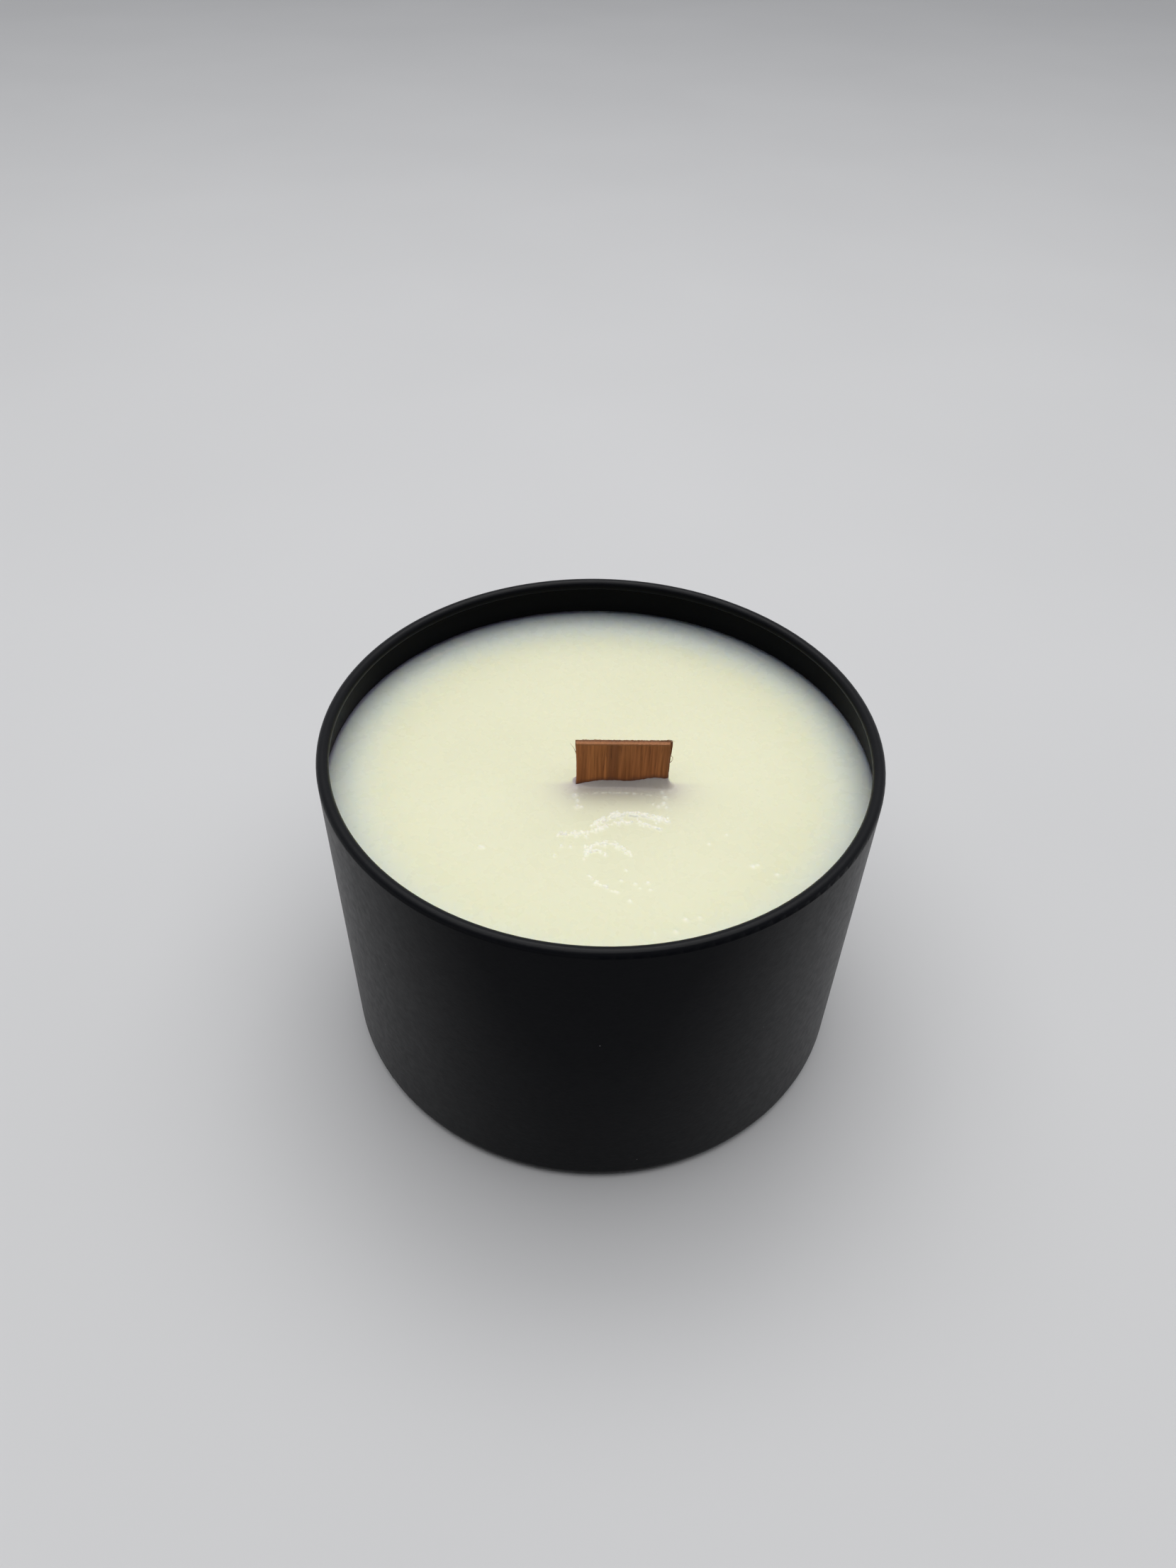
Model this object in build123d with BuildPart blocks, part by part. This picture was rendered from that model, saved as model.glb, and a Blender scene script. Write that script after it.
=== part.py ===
from build123d import *
from math import cos, radians
import os

# A filled candle tin: a drawn tinplate cup with a rolled rim, holding poured
# wax and a flat two-ply wooden wick that stands in a clip stuck to the floor.
# Millimetres, +Z up. The origin is the centre of the ring the tin stands on.

# Tin
tin_radius = 38.5
tin_height = 51.3
sheet = 0.25
curl_section_radius = 0.85
curl_wrap = 290
corner_radius = 2.0
panel_rise = 0.8
panel_edge_radius = 33.2
panel_step_angle = 60

# Wax
wax_level = 44.6

# Wick: two thin wooden strips, the back one set a little to the right
wick_x = 3.05
wick_y = -3.1
wick_turn = 2.3
wick_top = 52.2
wick_width = 12.7
front_ply = 0.6
back_ply = 0.5
back_ply_shift = 0.15

# Clip that holds the wick, and the foam sticker under the clip
clip_radius = 10.0
clip_sheet = 0.3
clip_bend = 0.2
tab_width = 11.0
tab_height = 6.0
tab_corner = 1.5
tab_slit = 0.3
sticker_radius = 10.0
sticker_thickness = 0.8

# Sizes of the tin's sheet, taken along its middle line
half_sheet = sheet / 2
panel_middle = panel_rise + half_sheet
wall_middle = tin_radius - half_sheet
corner_middle = corner_radius - half_sheet
step_middle = panel_rise / (2 * (1 - cos(radians(panel_step_angle))))
curl_middle = curl_section_radius - half_sheet
wall_top = tin_height - curl_section_radius

# Heights and half widths of the stack under the wick
floor_height = panel_rise + sheet
clip_bottom = floor_height + sticker_thickness
clip_top = clip_bottom + clip_sheet
wick_bottom = clip_top + clip_bend
wick_height = wick_top - wick_bottom
half_wick = (front_ply + back_ply) / 2
tab_middle = half_wick + clip_sheet / 2
bend_middle = clip_bend + clip_sheet / 2
window_start = half_wick - clip_bend
window_depth = radians(90) * bend_middle + tab_height - bend_middle


def floor_and_wall(side, wall_end):
    """Line from the axis along the tin's floor and up its wall to wall_end.

    The line lies this far to the side of the sheet's middle line, inwards.
    """
    panel = Line((0, panel_middle + side), (panel_edge_radius, panel_middle + side))
    step_down = JernArc(panel @ 1, panel % 1, step_middle + side, -panel_step_angle)
    step_out = JernArc(step_down @ 1, step_down % 1, step_middle - side, panel_step_angle)
    ring = Line(step_out @ 1, (wall_middle - corner_middle, half_sheet + side))
    corner = JernArc(ring @ 1, ring % 1, corner_middle - side, 90)
    return Line(corner @ 1, (wall_middle - side, wall_end))


def wick_plane(height):
    """Level plane at this height, centred on the wick and turned with it."""
    return Plane(origin=(wick_x, wick_y, height)).rotated((0, 0, wick_turn))


# Tin body: one sheet of constant thickness. It runs out along the raised floor
# panel, steps down to the standing ring, climbs straight up the wall, and rolls
# inwards over the rim into a hollow curl, so the outside stays straight for a lid.
with BuildPart() as tin_body:
    with BuildSketch(Plane.XZ):
        with BuildLine():
            wall = floor_and_wall(0, wall_top)
            JernArc(wall @ 1, wall % 1, curl_middle, curl_wrap)
        trace(line_width=sheet)
    revolve(axis=Axis.Z)
tin_body.part.label = "tin_body"

# Sticker: a foam adhesive disc that holds the clip to the tin's floor
with BuildPart() as wick_sticker:
    with BuildSketch(wick_plane(floor_height)):
        Circle(sticker_radius)
    extrude(amount=sticker_thickness)
wick_sticker.part.label = "wick_sticker"

# Clip: a thin steel disc. Two tabs, cut from the disc and bent up out of their
# windows, hold the wick between them.
with BuildPart() as wick_clip:
    with BuildSketch(wick_plane(clip_bottom)):
        Circle(clip_radius)
        window_middle = window_start + window_depth / 2
        with Locations((0, window_middle), (0, -window_middle)):
            Rectangle(tab_width + 2 * tab_slit, window_depth, mode=Mode.SUBTRACT)
    extrude(amount=clip_sheet)
    level = wick_plane(clip_bottom)
    with BuildSketch(Plane(origin=level.origin, x_dir=level.y_dir, z_dir=level.x_dir)):
        with BuildLine():
            FilletPolyline(
                (-tab_middle, tab_height),
                (-tab_middle, clip_sheet / 2),
                (tab_middle, clip_sheet / 2),
                (tab_middle, tab_height),
                radius=bend_middle,
            )
        trace(line_width=clip_sheet)
    extrude(amount=tab_width / 2, both=True)
    tab_ends = edges().group_by(Axis.Z)[-1].group_by(SortBy.LENGTH)[0]
    fillet(tab_ends, radius=tab_corner)
wick_clip.part.label = "wick_clip"

# Wick: the two plies stand face to face between the clip's tabs
with BuildPart() as wick_front_ply:
    with BuildSketch(wick_plane(wick_bottom)):
        with Locations((0, front_ply / 2 - half_wick)):
            Rectangle(wick_width, front_ply)
    extrude(amount=wick_height)
wick_front_ply.part.label = "wick_front_ply"

with BuildPart() as wick_back_ply:
    with BuildSketch(wick_plane(wick_bottom)):
        with Locations((back_ply_shift, half_wick - back_ply / 2)):
            Rectangle(wick_width, back_ply)
    extrude(amount=wick_height)
wick_back_ply.part.label = "wick_back_ply"

# Wax: fills the tin up to its level, round the sticker, the clip and the wick
with BuildPart() as wax_fill:
    with BuildSketch(Plane.XZ):
        with BuildLine():
            wall = floor_and_wall(half_sheet, wax_level)
            Polyline(wall @ 1, (0, wax_level), (0, floor_height))
        make_face()
    revolve(axis=Axis.Z)
    for buried in (wick_sticker, wick_clip, wick_front_ply, wick_back_ply):
        add(buried.part, mode=Mode.SUBTRACT)
wax_fill.part.label = "wax_fill"

os.makedirs("parts", exist_ok=True)
for piece in (tin_body, wax_fill, wick_front_ply, wick_back_ply, wick_clip, wick_sticker):
    export_step(piece.part, f"parts/{piece.part.label}.step")
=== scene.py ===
import math

import bmesh
import bpy
import numpy as np
from mathutils import Matrix, Vector, noise


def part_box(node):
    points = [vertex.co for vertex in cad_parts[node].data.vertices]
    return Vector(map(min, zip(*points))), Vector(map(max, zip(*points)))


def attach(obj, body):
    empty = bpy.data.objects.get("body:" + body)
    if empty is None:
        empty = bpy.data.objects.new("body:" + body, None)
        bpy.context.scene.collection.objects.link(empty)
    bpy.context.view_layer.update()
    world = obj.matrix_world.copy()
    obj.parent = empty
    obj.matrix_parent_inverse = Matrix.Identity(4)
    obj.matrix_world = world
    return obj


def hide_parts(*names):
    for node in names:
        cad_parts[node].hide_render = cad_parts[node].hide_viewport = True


# A filled candle tin: a black drawn tin, cream wax, and a two-ply wooden wick.
# Lengths are metres, in the row's own frame; MM turns millimetres into metres.
MM = 0.001

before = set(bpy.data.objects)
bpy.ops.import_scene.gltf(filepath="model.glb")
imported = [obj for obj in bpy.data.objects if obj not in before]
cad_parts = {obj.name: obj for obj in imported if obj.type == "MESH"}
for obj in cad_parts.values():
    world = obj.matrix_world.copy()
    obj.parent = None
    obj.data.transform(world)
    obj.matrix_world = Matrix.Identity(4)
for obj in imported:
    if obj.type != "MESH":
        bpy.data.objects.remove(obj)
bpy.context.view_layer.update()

rim_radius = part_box("tin_body")[1].x
rim_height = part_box("tin_body")[1].z
wax_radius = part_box("wax_fill")[1].x
wax_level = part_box("wax_fill")[1].z


# ---------------------------------------------------------------- camera

def add_camera():
    """A phone's main camera, held in front of the tin and looking down at it.

    Its place and turns are those that fit the photo's outlines of the rim and the body.
    """
    data = bpy.data.cameras.new("camera")
    data.sensor_width = 36
    data.lens = 25.45
    data.clip_start = 0.01
    data.clip_end = 20
    camera = bpy.data.objects.new("camera", data)
    bpy.context.scene.collection.objects.link(camera)
    place_in_rim_radii = Vector((0, -3.0025, 3.892))
    pitch_down = math.radians(43.204)
    turn_left = math.radians(0.815)
    roll = math.radians(1.516)
    camera.matrix_world = (
        Matrix.Translation(place_in_rim_radii * rim_radius)
        @ Matrix.Rotation(turn_left, 4, "Z")
        @ Matrix.Rotation(math.radians(90) - pitch_down, 4, "X")
        @ Matrix.Rotation(roll, 4, "Z")
    )
    bpy.context.scene.camera = camera


# ---------------------------------------------------------------- materials

class Shader:
    """The nodes of a material or of the world, with short calls to add and join them."""

    def __init__(self, owner):
        owner.use_nodes = True
        self.owner = owner
        self.nodes = owner.node_tree.nodes
        self.links = owner.node_tree.links
        self.bsdf = self.nodes.get("Principled BSDF")

    @classmethod
    def material(cls, name):
        """The nodes of a new material."""
        return cls(bpy.data.materials.new(name))

    def add(self, kind, values=None, **settings):
        """A new node: settings are its properties, values its input sockets."""
        node = self.nodes.new(kind)
        for name, value in settings.items():
            setattr(node, name, value)
        self.fill(node, values or {})
        return node

    def fill(self, node, values):
        """Sets or joins input sockets by name or number."""
        for name, value in values.items():
            if isinstance(value, bpy.types.NodeSocket):
                self.links.new(value, node.inputs[name])
            else:
                node.inputs[name].default_value = value

    def place(self, scale=(1, 1, 1)):
        """Object coordinates, stretched by scale."""
        coordinates = self.add("ShaderNodeTexCoord")
        mapping = self.add(
            "ShaderNodeMapping",
            {"Vector": coordinates.outputs["Object"], "Scale": scale},
        )
        return mapping.outputs["Vector"]

    def noise(self, scale, detail=2.0, roughness=0.5, stretch=(1, 1, 1)):
        """Noise of this many waves to the metre."""
        node = self.add(
            "ShaderNodeTexNoise",
            {
                "Vector": self.place(stretch),
                "Scale": scale,
                "Detail": detail,
                "Roughness": roughness,
            },
        )
        return node.outputs["Fac"]

    def ramp(self, factor, stops):
        """A colour or grey for each stop: (place, colour)."""
        node = self.add("ShaderNodeValToRGB", {"Fac": factor})
        elements = node.color_ramp.elements
        while len(elements) < len(stops):
            elements.new(0.5)
        for element, (place, colour) in zip(elements, stops):
            element.position = place
            element.color = (*colour, 1) if len(colour) == 3 else colour
        return node.outputs["Color"]

    def remap(self, factor, low, high, to_low=0.0, to_high=1.0):
        """factor from low..high to to_low..to_high, held at the ends."""
        node = self.add(
            "ShaderNodeMapRange",
            {
                "Value": factor,
                "From Min": low,
                "From Max": high,
                "To Min": to_low,
                "To Max": to_high,
            },
        )
        return node.outputs["Result"]

    def mix(self, factor, first, second):
        """Blend of two colours."""
        node = self.add("ShaderNodeMix", data_type="RGBA")
        self.fill(node, {0: factor, 6: first, 7: second})
        return node.outputs[2]

    def attribute(self, name):
        """A named value stored in the mesh."""
        return self.add("ShaderNodeAttribute", attribute_name=name).outputs["Fac"]

    def height(self):
        """Height over the object's own origin."""
        axes = self.add("ShaderNodeSeparateXYZ", {"Vector": self.place()})
        return axes.outputs["Z"]

    def slant(self):
        """0 where the surface is seen square on, rising to 1 at its outline."""
        return self.add("ShaderNodeLayerWeight", {"Blend": 0.5}).outputs["Facing"]

    def bump(self, height, strength, distance, below=None):
        """A bump normal from a height; below is a bump that it adds to."""
        values = {"Height": height, "Strength": strength, "Distance": distance}
        if below is not None:
            values["Normal"] = below
        return self.add("ShaderNodeBump", values).outputs["Normal"]


def tin_enamel():
    """Satin black enamel with fine orange peel and a few grains of dust.

    It shines most on the top of the rim's curl and where it is seen at a slant.
    """
    s = Shader.material("tin_enamel")
    curl_shine_from = rim_height - 0.70 * MM
    curl_shine_full = rim_height - 0.35 * MM
    dark, light = (0.0040, 0.0044, 0.0060), (0.0048, 0.0053, 0.0070)
    tone = s.ramp(s.noise(140, 3), [(0.3, dark), (0.7, light)])
    cells = s.add("ShaderNodeTexVoronoi", {"Vector": s.place(), "Scale": 300, "Randomness": 1.0})
    grain = s.remap(cells.outputs["Distance"], 0.024, 0.036, 1, 0)
    dusty_patch = s.remap(s.noise(95, 0), 0.64, 0.66)
    dust = s.add("ShaderNodeMath", {0: grain, 1: dusty_patch}, operation="MULTIPLY")
    colour = s.mix(dust.outputs["Value"], tone, (0.12, 0.12, 0.115, 1))
    peel = s.bump(s.noise(1500, 2, 0.6), 0.5, 0.00003)
    fine = s.bump(s.noise(6000, 1), 0.25, 0.00001, peel)
    on_curl = s.remap(s.height(), curl_shine_from, curl_shine_full, 0.0, 0.15)
    sheen = s.remap(s.slant(), 0.46, 0.66, 0.030, 0.085)
    gloss = s.add("ShaderNodeMath", {0: on_curl, 1: sheen}, operation="MAXIMUM")
    s.fill(
        s.bsdf,
        {
            "Base Color": colour,
            "Roughness": s.remap(s.noise(900, 2), 0.3, 0.7, 0.33, 0.40),
            "Specular IOR Level": gloss.outputs["Value"],
            "Normal": fine,
        },
    )
    return s.owner


def candle_wax():
    """Cream soy wax. Light goes some millimetres in, and near the black wall is lost there.
    Near the wall a cooler tint is also painted on as shade.

    It is whiter on ridges and beads, partly for real frosting and partly as a painted highlight,
    and brownish where a thin coat of it lies on the wick. The lilac-brown in front of the wick
    is a painted shade of the wick.
    """
    s = Shader.material("candle_wax")
    cream, pale_cream = (0.805, 0.805, 0.585), (0.825, 0.825, 0.605)
    # Painted shade: a cooler tint near the black wall, standing for the light lost there
    painted_cool_wall_shade = (0.79, 0.84, 0.71, 1)
    # Whiter colour on ridges and beads: partly real frosting, partly a painted highlight
    white_frost_and_highlight = (0.935, 0.925, 0.77, 1)
    # Brown for the coat of wax on the wick, and lilac-brown painted shade of the wick on the wax in
    # front
    brown_film_and_wick_shade = (0.50, 0.42, 0.46, 1)
    poured = s.ramp(s.noise(60, 1), [(0.3, cream), (0.7, pale_cream)])
    # Painted shade: the wax turns to the cool tint near the wall
    body = s.mix(s.attribute("edge"), poured, painted_cool_wall_shade)
    # Ridges and beads turn whiter: partly frosting, partly painted highlight
    frost_and_highlight_colour = s.mix(s.attribute("frost_and_highlight"), body, white_frost_and_highlight)
    colour = s.mix(s.attribute("film_and_wick_shade"), frost_and_highlight_colour, brown_film_and_wick_shade)
    s.fill(
        s.bsdf,
        {
            "Base Color": colour,
            "Subsurface Weight": s.attribute("deep"),
            "Subsurface Radius": (2.4, 2.05, 1.4),
            "Subsurface Scale": s.remap(s.attribute("reach"), 0, 2, 0.0008, 0.0092),
            "Roughness": s.remap(s.noise(500, 2), 0.3, 0.7, 0.24, 0.32),
            "IOR": 1.44,
            "Normal": s.bump(s.noise(1500, 2), 0.12, 0.00003),
        },
    )
    return s.owner


def wick_wood(name, shade, end_shade):
    """Brown veneer, grain up and down, paler on the sawn end, darker where wax soaks it.

    shade lightens or darkens the whole veneer, end_shade its sawn end.
    """
    s = Shader.material(name)

    def brown(red, green, blue, light=shade):
        """This brown, times light."""
        return (light * red, light * green, light * blue, 1)

    broad = s.noise(420, 2, 0.5, (1, 0.2, 0.05))
    fine = s.noise(3400, 3, 0.6, (1, 0.4, 0.035))
    pores = s.noise(6500, 1, 0.5, (1, 0.4, 0.06))
    dark_streak, light_streak = brown(0.19, 0.053, 0.012), brown(0.69, 0.245, 0.064)
    veneer = s.ramp(s.attribute("tone"), [(0.0, dark_streak), (1.0, light_streak)])
    flow = s.mix(s.remap(broad, 0.3, 0.7, 0.0, 0.5), veneer, brown(0.54, 0.160, 0.043))
    grained = s.mix(s.remap(fine, 0.34, 0.68, 0.0, 0.8), flow, brown(0.20, 0.062, 0.013))
    pored = s.mix(s.remap(pores, 0.66, 0.74, 0.0, 0.5), grained, brown(0.09, 0.026, 0.008))
    end = s.mix(s.attribute("sawn"), pored, brown(0.32, 0.138, 0.056, end_shade))
    soaked = s.mix(s.attribute("soaked"), end, (0.13, 0.040, 0.020, 1))
    s.fill(
        s.bsdf,
        {
            "Base Color": soaked,
            "Roughness": s.remap(fine, 0.3, 0.7, 0.5, 0.72),
            "Specular IOR Level": 0.35,
            "Normal": s.bump(fine, 0.5, 0.00006),
        },
    )
    return s.owner


def tinplate():
    """Bare tinplate of the wick's clip, with rolling lines."""
    s = Shader.material("tinplate")
    dark, light = (0.50, 0.50, 0.49), (0.66, 0.66, 0.64)
    lines = s.noise(2500, 2, 0.5, (1, 0.05, 1))
    s.fill(
        s.bsdf,
        {
            "Base Color": s.ramp(lines, [(0.3, dark), (0.7, light)]),
            "Metallic": 1.0,
            "Roughness": s.remap(lines, 0.3, 0.7, 0.24, 0.38),
        },
    )
    return s.owner


def sticker_foam():
    """White closed-cell foam of the sticker."""
    s = Shader.material("sticker_foam")
    dark, light = (0.66, 0.66, 0.64), (0.84, 0.84, 0.82)
    cells = s.noise(5000, 3, 0.6)
    s.fill(
        s.bsdf,
        {
            "Base Color": s.ramp(cells, [(0.35, dark), (0.65, light)]),
            "Roughness": 0.85,
            "Normal": s.bump(cells, 0.6, 0.0001),
        },
    )
    return s.owner


def floor_paper():
    """Plain pale matt board that the tin stands on."""
    s = Shader.material("floor_paper")
    dark, light = (0.635, 0.64, 0.65), (0.655, 0.66, 0.67)
    clouds = s.noise(9, 2)
    s.fill(
        s.bsdf,
        {
            "Base Color": s.ramp(clouds, [(0.3, dark), (0.7, light)]),
            "Roughness": 0.6,
            "Specular IOR Level": 0.3,
        },
    )
    return s.owner


# ---------------------------------------------------------------- meshes

def mesh_object(name, vertices, faces, material):
    """A smooth-shaded mesh object in the scene."""
    mesh = bpy.data.meshes.new(name)
    mesh.from_pydata([tuple(v) for v in vertices], [], [tuple(f) for f in faces])
    mesh.materials.append(material)
    mesh.polygons.foreach_set("use_smooth", [True] * len(mesh.polygons))
    mesh.update()
    piece = bpy.data.objects.new(name, mesh)
    bpy.context.scene.collection.objects.link(piece)
    return piece


def store(mesh, name, values):
    """Keeps one value for each point in the mesh, for its material to read."""
    layer = mesh.attributes.new(name, "FLOAT", "POINT")
    layer.data.foreach_set("value", np.asarray(values, np.float32))


def smooth_step(x, low, high):
    """0 below low, 1 above high, and a soft S between them."""
    t = np.clip((x - low) / (high - low), 0, 1)
    return t * t * (3 - 2 * t)


def noise_at(x, y, z):
    """Smooth noise from about -1 to 1 at each point of two arrays; another z gives other noise."""
    values = [noise.noise(Vector((a, b, z))) for a, b in zip(x.ravel(), y.ravel())]
    return np.array(values).reshape(x.shape)


class Strip:
    """Where a flat upright CAD strip stands: its middle, its turn and its half sizes."""

    def __init__(self, node):
        points = np.array([v.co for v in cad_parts[node].data.vertices])
        flat = points[:, :2]
        self.middle = (flat.max(0) + flat.min(0)) / 2
        spread = flat - self.middle
        axis = np.linalg.svd(spread, full_matrices=False)[2][0]
        axis = axis * np.sign(axis[0])
        across = np.array([-axis[1], axis[0]])
        self.turn = math.atan2(axis[1], axis[0])
        self.half_width = np.abs(spread @ axis).max()
        self.half_thickness = np.abs(spread @ across).max()
        self.bottom = points[:, 2].min()
        self.top = points[:, 2].max()

    def matrix(self):
        """From the strip's own axes (width, thickness, height over the wax) to the row's."""
        return Matrix.Translation((*self.middle, wax_level)) @ Matrix.Rotation(self.turn, 4, "Z")

    def local(self, x, y):
        """Row x and y as distances along the width and through the thickness."""
        dx, dy = x - self.middle[0], y - self.middle[1]
        c, s = math.cos(self.turn), math.sin(self.turn)
        return c * dx + s * dy, -s * dx + c * dy


front_strip = Strip("wick_front_ply")
back_strip = Strip("wick_back_ply")


# ---------------------------------------------------------------- wax

# Arc-shaped ridges of wax, in millimetres and degrees: centre x, centre y, radius,
# first angle, last angle, height, half width, and how many beads lie on it. Their whiteness
# is partly real frosting and partly a painted highlight. Seven lie in front of the wick,
# one along its foot, whose whiteness is mostly a painted highlight line, and two near the
# back wall.
RIDGES = (
    (4.9, -16.6, 7.6, 52, 140, 0.13, 0.24, 95),
    (4.7, -16.4, 6.95, 60, 132, 0.09, 0.20, 45),
    (4.3, -17.0, 6.35, 50, 138, 0.12, 0.20, 40),
    (-4.6, -3.2, 10.2, 266, 296, 0.10, 0.18, 26),
    (1.2, -18.3, 3.45, 22, 148, 0.13, 0.20, 34),
    (-0.2, -17.6, 1.5, 20, 190, 0.09, 0.17, 24),
    (7.9, -12.5, 12.0, 222, 246, 0.03, 0.13, 18),
    (3.0, -35.1, 30.0, 79.5, 100.5, 0.10, 0.17, 0),
    (4.0, 9.7, 26.8, 36, 61, 0.09, 0.30, 14),
    (0.7, -3.5, 39.0, 121, 138, 0.09, 0.30, 14),
)

# Small beads and bubbles: x, y and radius in millimetres
BEADS = (
    (-3.2, -5.9, 0.40), (-2.9, -6.9, 0.30), (-2.9, -8.0, 0.34), (-2.3, -8.1, 0.20),
    (8.6, -4.7, 0.28), (9.0, -5.7, 0.34), (8.8, -6.9, 0.36), (8.1, -7.5, 0.28),
    (9.2, -7.6, 0.21), (7.4, -7.1, 0.18), (6.6, -21.4, 0.23), (5.0, -21.7, 0.21),
    (4.3, -24.5, 0.20), (3.2, -21.2, 0.17), (3.8, -19.4, 0.18), (-4.7, -15.5, 0.23),
    (-3.5, -15.6, 0.20), (-5.5, -17.3, 0.22), (-1.5, -13.7, 0.21), (14.7, -14.2, 0.18),
    (20.2, -17.9, 0.26), (20.8, -17.7, 0.23), (23.2, -19.2, 0.21), (11.2, -27.2, 0.25),
    (13.0, -26.9, 0.20), (10.0, -29.2, 0.22), (-15.3, -16.2, 0.24), (-14.9, -16.3, 0.20),
    (7.4, -29.6, 0.16), (17.1, -12.4, 0.17), (6.9, -22.6, 0.18), (5.6, -22.4, 0.14),
)

# No ridge or bead stands higher over the wax's level than this, in millimetres
TALLEST_RIDGE = 0.26

# How high the wax climbs the wick's front face: place along the width, height
CLIMB = (
    (-6.4, 0.2), (-4.9, 0.65), (-3.1, 1.05), (-1.1, 1.1),
    (0.5, 0.9), (2.3, 1.15), (4.1, 1.55), (6.4, 1.5),
)

# How far in front of the wick that climb starts: place along the width, distance
FOOT = ((-6.4, 1.4), (-3.5, 0.75), (-0.3, 0.55), (2.5, 0.6), (5.5, 1.0), (6.4, 1.3))

# The same climb and its start behind the wick, where both are even
BACK_CLIMB = 0.7
BACK_FOOT = 0.8


def arc_distance(x, y, arc_x, arc_y, radius, first, last):
    """Distance from points to an arc, and how far along it they lie, 0 to 1."""
    dx, dy = x - arc_x, y - arc_y
    angle = np.degrees(np.arctan2(dy, dx))
    middle, half = (first + last) / 2, (last - first) / 2
    off = (angle - middle + 180) % 360 - 180
    nearest = np.radians(middle + np.clip(off, -half, half))
    distance = np.hypot(dx - radius * np.cos(nearest), dy - radius * np.sin(nearest))
    return distance, np.clip(off / half, -1, 1) / 2 + 0.5


def ridge_beads():
    """The beads that the ridges break into: x, y and radius in millimetres."""
    chance = np.random.default_rng(11)
    smallest, largest = 0.10, 0.22
    beads = []
    for arc_x, arc_y, radius, first, last, _, half_width, count in RIDGES:
        scatter = 1.3 * half_width
        for _ in range(count):
            angle = math.radians(chance.uniform(first, last))
            reach = radius + chance.normal(0, scatter)
            size = chance.uniform(smallest, largest)
            beads.append((arc_x + reach * math.cos(angle), arc_y + reach * math.sin(angle), size))
    return beads


def wax_relief(x, y):
    """Height over the wax's level, and whiteness from frosting and painted highlight, at x and y in
    millimetres.
    """
    slow_waves = 0.014 * noise_at(x * 0.12, y * 0.12, 3.1)
    height = slow_waves + 0.002 * noise_at(x * 0.9, y * 0.9, 5.5)
    frost_and_highlight = np.zeros_like(x)
    # A grain breaks up the ridges in front of the wick; those near the wall are even
    in_front = (np.hypot(x - 3, y + 14) < 16) & (y < -4)
    grain = np.zeros_like(x)
    grain[in_front] = noise_at(x[in_front] * 2.2, y[in_front] * 2.2, 7.7)
    beading = 0.6 + 1.5 * grain
    # Ridges whiten with their height: partly frosting, partly a painted highlight
    frost_and_highlight_of_height = 11
    for arc_x, arc_y, radius, first, last, top, half_width, _ in RIDGES:
        distance, along = arc_distance(x, y, arc_x, arc_y, radius, first, last)
        fade = np.sqrt(np.clip(4 * along * (1 - along), 0, 1)) * 0.8 + 0.2
        ridge = np.clip(np.exp(-((distance / half_width) ** 2)) * beading * fade, 0, None)
        height += top * ridge
        frost_and_highlight += frost_and_highlight_of_height * top * ridge
    # Beads whiten too, partly as a painted highlight
    for bead_x, bead_y, radius in (*BEADS, *ridge_beads()):
        reach = 3 * radius
        close = (np.abs(x - bead_x) < reach) & (np.abs(y - bead_y) < reach)
        bead = np.exp(-(((x[close] - bead_x) ** 2 + (y[close] - bead_y) ** 2) / radius**2))
        height[close] += 0.6 * radius * bead
        frost_and_highlight[close] += bead
    height = np.minimum(height, TALLEST_RIDGE)
    wall = wax_radius / MM - np.hypot(x, y)
    wall_climb, wall_foot = 0.30, 0.45
    height += wall_climb * np.exp(-wall / wall_foot)
    return height + wick_climb(x, y), np.clip(frost_and_highlight, 0, 1)


def wick_distance(x, y):
    """Distance to the wick, place along its width and through it, and 0 behind to 1 in front.

    All but the last are in millimetres, and places are from the middle of the front ply.
    """
    along, through = front_strip.local(x * MM, y * MM)
    along, through = along / MM, through / MM
    half_width = front_strip.half_width / MM
    front = -front_strip.half_thickness / MM
    back = front + 2 * (front_strip.half_thickness + back_strip.half_thickness) / MM
    beyond = np.clip(np.abs(along) - half_width, 0, None)
    ahead = np.clip(front - through, 0, None)
    behind = np.clip(through - back, 0, None)
    distance = np.hypot(beyond, ahead + behind)
    return distance, along, through, smooth_step(-through, -back, -front)


def wick_climb(x, y):
    """Height that the wax climbs at the wick: most at its front right, little at its left."""
    distance, along, through, to_front = wick_distance(x, y)
    climb = BACK_CLIMB + to_front * (np.interp(along, *zip(*CLIMB)) - BACK_CLIMB)
    foot = BACK_FOOT + to_front * (np.interp(along, *zip(*FOOT)) - BACK_FOOT)
    near = distance < 2
    climb[near] *= 1 + 0.10 * noise_at(along[near] * 1.6, through[near] * 0.5, 1.3)
    steepness = 2.4
    return climb * np.clip(1 - distance / foot, 0, 1) ** steepness


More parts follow.
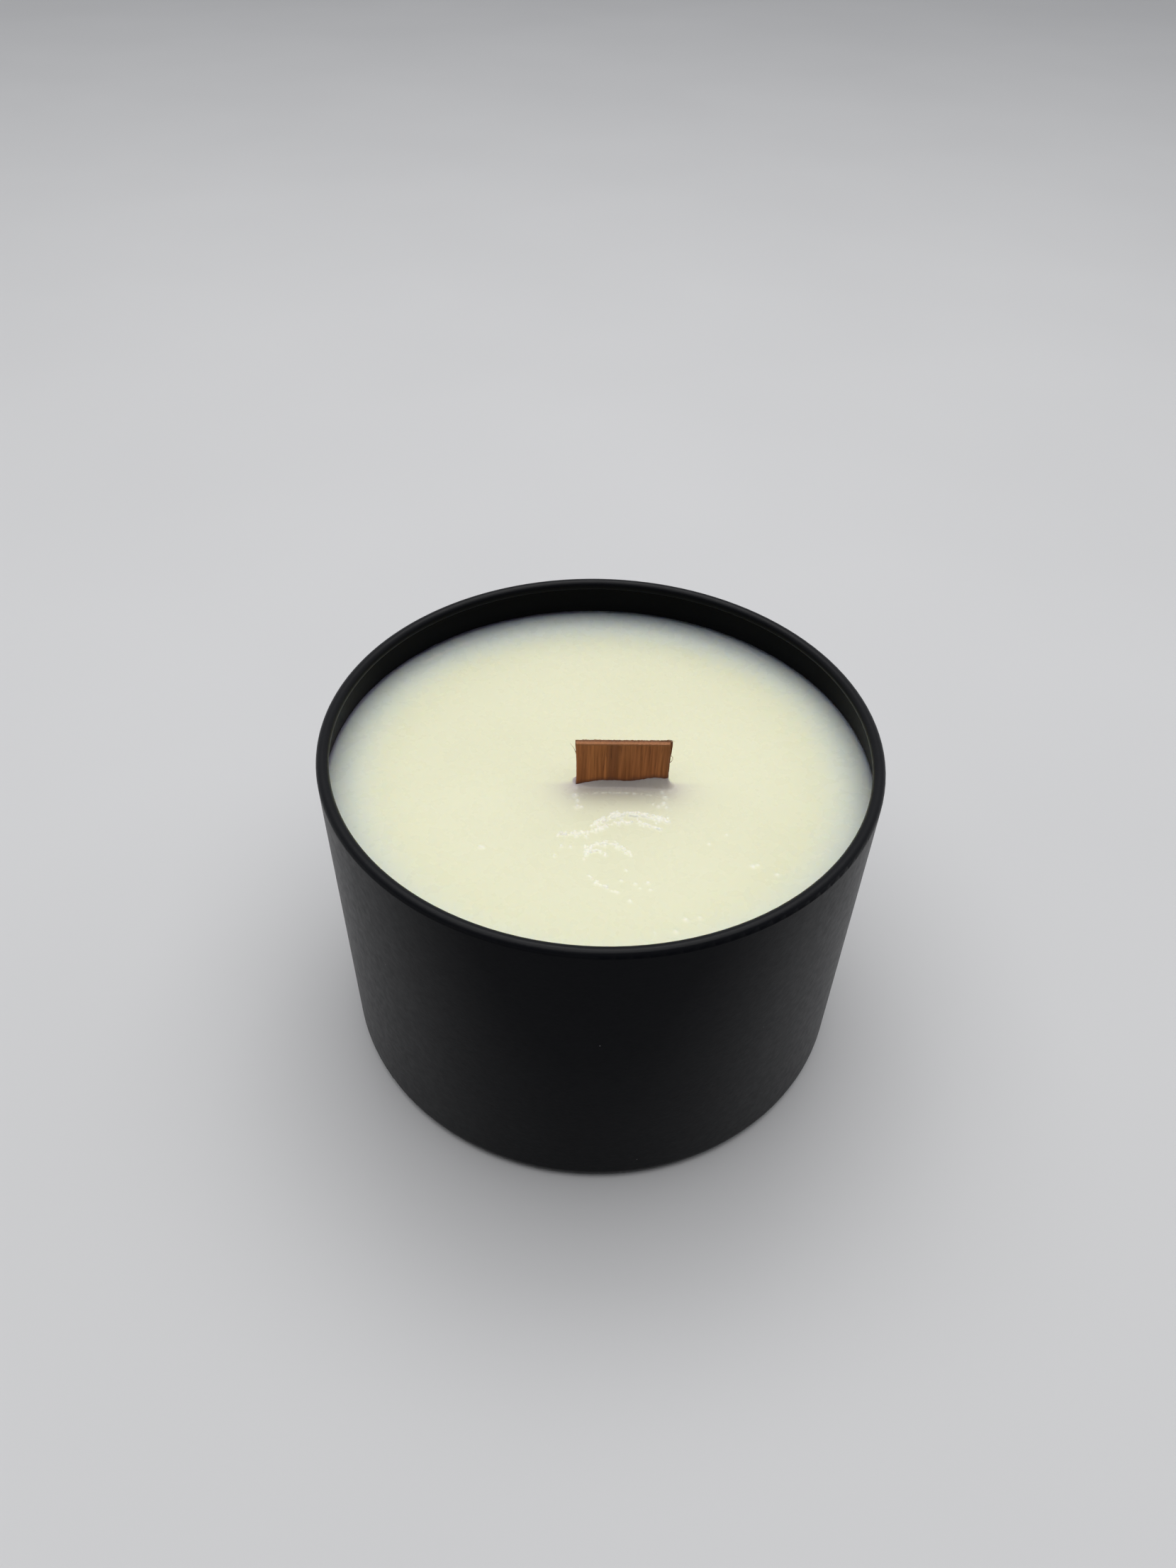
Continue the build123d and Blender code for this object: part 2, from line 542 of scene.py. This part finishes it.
def wax_surface():
    """The wax's top as a closed block: its relief above, a flat base far below.

    It reaches a little past the CAD solid on every side, which trims it. Its points
    lie on rings, close together in front of the wick, where the relief is fine.
    """
    # First angle, end and step, in degrees: the front, then the rest
    sectors = ((-150, 10, 0.4), (10, 210, 1.0))
    angles = np.concatenate([np.arange(*sector) for sector in sectors])
    # First radius, end and step, in millimetres
    edge = wax_radius / MM + 0.6
    wall_band = edge - 1.9
    bands = (
        (0.15, 3, 0.15),
        (3, 11, 0.06),
        (11, 25, 0.12),
        (25, wall_band, 0.30),
        (wall_band, edge + 0.05, 0.10),
    )
    rings = np.concatenate([np.arange(*band) for band in bands])
    base = -2 * MM
    radius, angle = np.meshgrid(rings, np.radians(angles), indexing="ij")
    x = np.concatenate([[0.0], (radius * np.cos(angle)).ravel()])
    y = np.concatenate([[0.0], (radius * np.sin(angle)).ravel()])
    height = wax_relief(x, y)[0]
    count, turns = len(rings), len(angles)
    top = np.stack([x * MM, y * MM, wax_level + height * MM], 1)
    outer = 1 + (count - 1) * turns
    under = len(top)
    foot = top[outer:].copy()
    foot[:, 2] = base
    vertices = np.concatenate([top, foot, [[0, 0, base]]])
    last = len(vertices) - 1
    faces = []
    for j in range(turns):
        k = (j + 1) % turns
        faces.append((0, 1 + j, 1 + k))
        for i in range(count - 1):
            a, b = 1 + i * turns, 1 + (i + 1) * turns
            faces.append((a + j, b + j, b + k, a + k))
        faces.append((outer + j, under + j, under + k, outer + k))
        faces.append((under + j, last, under + k))
    return vertices, faces


def tall_wax_solid():
    """The CAD wax, welded, with its plain top raised clear of the relief."""
    weld, level_slack, raised = 0.001 * MM, 0.01 * MM, 3 * MM
    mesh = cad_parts["wax_fill"].data.copy()
    solid = bmesh.new()
    solid.from_mesh(mesh)
    bmesh.ops.remove_doubles(solid, verts=solid.verts, dist=weld)
    for vertex in solid.verts:
        if vertex.co.z > wax_level - level_slack:
            vertex.co.z += raised
    solid.to_mesh(mesh)
    solid.free()
    return mesh


def trimmed_wax(material):
    """The block of wax_surface, cut to the CAD solid's sides and pockets, as an object."""
    vertices, faces = wax_surface()
    wax = mesh_object("wax", vertices, faces, material)
    cutter = bpy.data.objects.new("wax_cutter", tall_wax_solid())
    bpy.context.scene.collection.objects.link(cutter)
    trim = wax.modifiers.new("trim", "BOOLEAN")
    trim.operation = "INTERSECT"
    trim.solver = "MANIFOLD"
    trim.object = cutter
    evaluated = wax.evaluated_get(bpy.context.evaluated_depsgraph_get())
    mesh = bpy.data.meshes.new_from_object(evaluated)
    mesh.materials.clear()
    mesh.materials.append(material)
    mesh.polygons.foreach_set("use_smooth", [True] * len(mesh.polygons))
    wax.modifiers.clear()
    wax.data = mesh
    bpy.data.objects.remove(cutter)
    return wax


def mark_wax(mesh):
    """Stores what the wax's material reads at each point.

    frost_and_highlight: how white, from real frosting and from a painted highlight. film: how much
    of the wick's brown shows through a coat of wax on it, and the painted shade of the wick
    on the wax in front of it.
    reach and deep: how far light goes in, and how much of it. edge: how near the wall,
    where a cooler tint is painted on as shade.
    """
    points = np.array([v.co for v in mesh.vertices])
    x, y, z = points[:, 0] / MM, points[:, 1] / MM, (points[:, 2] - wax_level) / MM
    # Whiteness on the top: frosting and painted highlight
    frost_and_highlight = np.where(z > -1, wax_relief(x, y)[1], 0)
    distance, along, _, to_front = wick_distance(x, y)
    full_climb = np.interp(along, *zip(*CLIMB))
    on_wick = 0.9 * smooth_step(z, 0.25 * full_climb, full_climb)
    # Painted shade: the wick's shadow on the wax in front of it, fading with distance
    painted_wick_shade = 0.8 * to_front * np.exp(-distance / 2.0)
    film_and_wick_shade = np.maximum(on_wick, painted_wick_shade)
    wall = wax_radius / MM - np.hypot(x, y)
    store(mesh, "frost_and_highlight", frost_and_highlight)
    # The wick's coat of wax and its painted shade, less where the wax is whitened
    store(mesh, "film_and_wick_shade", film_and_wick_shade * (1 - 0.8 * frost_and_highlight))
    store(mesh, "reach", smooth_step(distance, 0.3, 2.2) + 0.9 * smooth_step(y, 16, 32))
    store(mesh, "deep", 1 - 0.65 * smooth_step(wall, 6, 15))
    # edge: nearness to the wall, where the cool tint is painted as shade
    store(mesh, "edge", 1 - smooth_step(wall, 1, 9))


def build_wax(material):
    """The poured wax: the CAD solid's sides and pockets under a top in full relief."""
    crease = math.radians(50)
    wax = trimmed_wax(material)
    mark_wax(wax.data)
    wax.data.set_sharp_from_angle(angle=crease)
    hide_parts("wax_fill")
    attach(wax, "root")


# ---------------------------------------------------------------- wick

# How light the veneer is along the wick's width: place in millimetres, tone from 0 to 1
TONES = (
    (-6.4, 0.35), (-6.0, 0.62), (-5.2, 0.50), (-4.4, 0.72), (-3.3, 0.80),
    (-2.3, 0.66), (-1.9, 0.12), (-0.9, 0.10), (-0.5, 0.45), (0.6, 0.62),
    (1.6, 0.42), (3.0, 0.55), (4.4, 0.44), (5.2, 0.60), (6.4, 0.25),
)

# Loose fibres, in millimetres: side (-1 left, 1 right), radius at the root, and the points
# that it runs through: how far out past that side, how far back, how high over the wax
FRONT_FIBRES = (
    (-1, 0.050, ((-0.10, 0, 5.2), (0.10, 0, 5.9), (0.35, 0.05, 6.6), (0.85, 0.1, 7.4))),
    (1, 0.055, ((-0.10, 0, 4.0), (0.22, 0, 4.25), (0.42, 0, 4.7), (0.46, 0.05, 5.2))),
    (1, 0.050, ((-0.10, 0, 5.6), (0.20, 0, 5.35), (0.38, 0.05, 5.0), (0.30, 0.1, 4.6))),
    (1, 0.045, ((-0.10, 0.1, 6.6), (0.10, 0.1, 6.2), (0.16, 0.1, 5.6), (0.08, 0.1, 5.0))),
)
BACK_FIBRES = (
    (1, 0.050, ((-1.75, 0, 7.4), (-1.15, 0, 7.62), (-0.55, -0.02, 7.66), (-0.05, 0, 7.60))),
    (1, 0.050, ((-0.95, 0.1, 7.4), (-0.45, 0.1, 7.64), (0.05, 0.1, 7.56), (0.45, 0.1, 7.30))),
    (-1, 0.045, ((-0.30, 0, 6.9), (-0.05, 0, 7.2), (0.15, 0, 7.5), (0.45, 0, 7.6))),
)


def ply_shape(strip, u, v, w, outward, seed, flare):
    """The strip's surface at u along its width, v through it and w over the wax, in millimetres.

    Grooves and wear only go inwards, and only on the outward face. The sides are ragged,
    and splay towards the top by flare, left and right. The sawn top has fine teeth.
    """
    half_u, half_v = strip.half_width / MM, strip.half_thickness / MM
    top = (strip.top - wax_level) / MM
    wide_groove = 0.022 * (1 + noise_at(u * 2.6, w * 0.05, seed))
    fine_groove = 0.012 * (1 + noise_at(u * 8, w * 0.15, seed + 5))
    corner = 0.10 * smooth_step(np.abs(u), half_u - 0.15, half_u) ** 2
    worn = 0.07 * smooth_step(w, top - 0.18, top) * (1 + noise_at(u * 3.1, w, seed + 9))
    on_face = smooth_step(outward * v, 0, half_v)
    new_v = v - outward * on_face * (wide_groove + fine_groove + corner + worn)
    ragged = 0.05 * (1 + noise_at(w * 1.1, v * 2.0, seed + 12))
    side = smooth_step(np.abs(u), half_u - 0.6, half_u) ** 2
    splay = np.where(u < 0, flare[0], flare[1]) * smooth_step(w, 1.2, top) ** 2
    new_u = u + np.sign(u) * side * (splay - ragged)
    wide_teeth = 0.05 * (1 + noise_at(u * 5.3, v * 3, seed + 17))
    fine_teeth = 0.03 * (1 + noise_at(u * 14, v * 6, seed + 19))
    new_w = w - (wide_teeth + fine_teeth) * smooth_step(w, top - 0.3, top)
    return new_u, new_v, new_w


def add_fibre(vertices, faces, path, root_radius):
    """Adds a loose wood fibre: a six-sided tube along path.

    It tapers from root_radius at the first point to a fifth of that at the last.
    """
    sides = 6
    taper = 0.8
    # No fibre runs this way, so there is always a direction square to both
    off_path = Vector((0, 1, 0.02))
    first = len(vertices)
    line = [Vector(point) for point in path]
    for i, point in enumerate(line):
        ahead = (line[min(i + 1, len(line) - 1)] - line[max(i - 1, 0)]).normalized()
        across = ahead.cross(off_path).normalized()
        upward = ahead.cross(across)
        radius = root_radius * (1 - taper * i / (len(line) - 1))
        for k in range(sides):
            turn = 2 * math.pi * k / sides
            vertices.append(point + radius * (math.cos(turn) * across + math.sin(turn) * upward))
    for i in range(len(line) - 1):
        for k in range(sides):
            a, b = first + i * sides + k, first + i * sides + (k + 1) % sides
            faces.append((a, b, b + sides, a + sides))
    faces.append(tuple(range(first + sides - 1, first - 1, -1)))
    faces.append(tuple(range(len(vertices) - sides, len(vertices))))


def ply_grid(strip):
    """The plain strip as a grid of points, u, v and w as in ply_shape, and its faces."""
    half_u, half_v = strip.half_width / MM, strip.half_thickness / MM
    top = (strip.top - wax_level) / MM
    foot = (strip.bottom - wax_level) / MM
    across, through = 150, 5
    # Levels are far apart deep in the wax, then even, and close together at the sawn top
    levels = np.concatenate([
        np.linspace(foot, -1.5, 6),
        np.arange(-1.2, top - 0.4, 0.12),
        np.linspace(top - 0.36, top, 7),
    ])
    us = np.linspace(-half_u, half_u, across + 1)
    vs = np.linspace(-half_v, half_v, through + 1)
    ring = [(i, 0) for i in range(across)] + [(across, k) for k in range(through)]
    ring += [(i, through) for i in range(across, 0, -1)] + [(0, k) for k in range(through, 0, -1)]
    inner = [(i, k) for k in range(1, through) for i in range(1, across)]
    places = [(*cell, w) for w in levels for cell in ring]
    places += [(*cell, levels[0]) for cell in inner] + [(*cell, levels[-1]) for cell in inner]
    i, k, w = np.array(places).T
    u, v = us[i.astype(int)], vs[k.astype(int)]
    count = len(ring)
    faces = []
    for level in range(len(levels) - 1):
        for j in range(count):
            a, b = level * count + j, level * count + (j + 1) % count
            faces.append((a, b, b + count, a + count))
    # The foot and the sawn top are closed by the points inside the ring
    for row, start, flip in ((0, 0, True), (len(levels) - 1, len(inner), False)):
        index = {cell: row * count + j for j, cell in enumerate(ring)}
        index.update({cell: len(levels) * count + start + j for j, cell in enumerate(inner)})
        for a in range(across):
            for b in range(through):
                quad = (index[a, b], index[a + 1, b], index[a + 1, b + 1], index[a, b + 1])
                faces.append(quad[::-1] if flip else quad)
    return u, v, w, faces


def mark_ply(mesh, points, strip, outward, seed, loose):
    """Stores what the wood's material reads at each point; loose points are a fibre's.

    tone: how light the veneer is. sawn: the sawn end. soaked: how much wax is in it.
    """
    u, v, w = points.T
    top = (strip.top - wax_level) / MM
    tone = np.interp(u + 0.18 * noise_at(w * 0.35, u * 0.2, seed), *zip(*TONES))
    low_down = smooth_step(-w, -2.6, -0.6)
    right_of_middle = smooth_step(u, -1.0, 1.5) * (1 - smooth_step(u, 3.5, 5.0))
    tone -= 0.25 * low_down * right_of_middle
    patchy = 0.75 + 0.25 * noise_at(u * 4, v * 4, seed + 3)
    sawn = smooth_step(w, top - 0.42, top - 0.12) * patchy
    wax_line = np.interp(u, *zip(*CLIMB)) if outward < 0 else BACK_CLIMB
    dry_from = wax_line + 0.75 + 0.3 * noise_at(u * 1.5, w * 0.3, seed + 4)
    soaked = 0.8 * (1 - smooth_step(w, wax_line - 0.1, dry_from))
    store(mesh, "tone", np.where(loose, 0.9, tone))
    store(mesh, "sawn", np.where(loose, 0.5, sawn))
    store(mesh, "soaked", np.where(loose, 0, soaked))


def build_ply(name, node, strip, outward, seed, material, flare, fibres):
    """One veneer of the wick, with its grain, its sawn top and its loose fibres.

    outward is -1 where its free face is in front and 1 where it is behind.
    """
    crease = math.radians(40)
    u, v, w, faces = ply_grid(strip)
    shaped = ply_shape(strip, u, v, w, outward, seed, flare)
    vertices = [Vector(point) for point in zip(*shaped)]
    shell = len(vertices)
    wick_side = front_strip.half_width / MM
    for side, root_radius, path in fibres:
        line = [(side * (wick_side + out), back, up) for out, back, up in path]
        add_fibre(vertices, faces, line, root_radius)
    points = np.array(vertices)
    loose = np.arange(len(points)) >= shell
    piece = mesh_object(name, points * MM, faces, material)
    piece.matrix_world = strip.matrix()
    mark_ply(piece.data, points, strip, outward, seed, loose)
    piece.data.set_sharp_from_angle(angle=crease)
    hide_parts(node)
    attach(piece, "root")


def build_wick():
    """The two veneers, the back one darker, with splinters at their corners and right edge."""
    build_ply(
        name="wick_front",
        node="wick_front_ply",
        strip=front_strip,
        outward=-1,
        seed=2.0,
        material=wick_wood("wood_front", shade=1.0, end_shade=1.0),
        flare=(0.15, 0.0),
        fibres=FRONT_FIBRES,
    )
    build_ply(
        name="wick_back",
        node="wick_back_ply",
        strip=back_strip,
        outward=1,
        seed=41.0,
        material=wick_wood("wood_back", shade=0.8, end_shade=0.42),
        flare=(0.35, 0.20),
        fibres=BACK_FIBRES,
    )


# ---------------------------------------------------------------- stage

def add_room():
    """A soft room: bright behind and above the tin, dark low down in front."""
    s = Shader(bpy.data.worlds.new("room"))
    bpy.context.scene.world = s.owner
    brightest_way = (0, 0.9, 0.44)
    direction = s.add("ShaderNodeTexCoord").outputs["Generated"]
    facing = s.add("ShaderNodeVectorMath", {0: direction, 1: brightest_way}, operation="DOT_PRODUCT")
    level = s.remap(facing.outputs["Value"], -0.6, 1.0)
    glow = s.ramp(
        level,
        [
            (0.0, (0.05, 0.05, 0.053)),
            (0.25, (0.10, 0.10, 0.105)),
            (0.42, (0.24, 0.245, 0.26)),
            (0.65, (0.42, 0.425, 0.445)),
            (0.9, (0.52, 0.525, 0.54)),
        ],
    )
    lit = s.nodes["Background"]
    s.fill(lit, {"Color": glow, "Strength": 1.0})
    seen = s.add("ShaderNodeBackground", {"Color": (0.60, 0.61, 0.63, 1), "Strength": 1.0})
    eye = s.add("ShaderNodeLightPath").outputs["Is Camera Ray"]
    both = s.add("ShaderNodeMixShader", {0: eye, 1: lit.outputs[0], 2: seen.outputs[0]})
    s.links.new(both.outputs[0], s.nodes["World Output"].inputs["Surface"])


def add_soft_box(name, size, energy, place):
    """A rectangular soft light, size in metres and energy in watts, turned to the tin."""
    tin_middle = Vector((0, 0, 0.03))
    light = bpy.data.lights.new(name, "AREA")
    light.shape = "RECTANGLE"
    light.size = size[0]
    light.size_y = size[1]
    light.energy = energy
    light.color = (1.0, 0.99, 0.975)
    box = bpy.data.objects.new(name, light)
    bpy.context.scene.collection.objects.link(box)
    box.location = place
    aim = tin_middle - box.location
    box.rotation_mode = "QUATERNION"
    box.rotation_quaternion = aim.to_track_quat("-Z", "Y")


def add_stage():
    """A pale floor, a wide bright ceiling, and a small soft box a little behind the tin."""
    floor_radius, floor_sides = 3.0, 96
    turns = np.linspace(0, 2 * math.pi, floor_sides, endpoint=False)
    corners = [(floor_radius * math.cos(a), floor_radius * math.sin(a), 0) for a in turns]
    floor = mesh_object("floor", corners, [range(floor_sides)], floor_paper())
    add_soft_box("ceiling", (1.4, 1.1), 7.9, (0, 0.04, 1.0))
    add_soft_box("soft_box", (0.26, 0.20), 0.35, (0, 0.20, 0.50))
    bpy.context.scene.view_settings.view_transform = "Standard"


add_camera()
add_room()
add_stage()

for node, material in (
    ("tin_body", tin_enamel()),
    ("wick_clip", tinplate()),
    ("wick_sticker", sticker_foam()),
):
    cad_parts[node].data.materials.clear()
    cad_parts[node].data.materials.append(material)

build_wax(candle_wax())
build_wick()
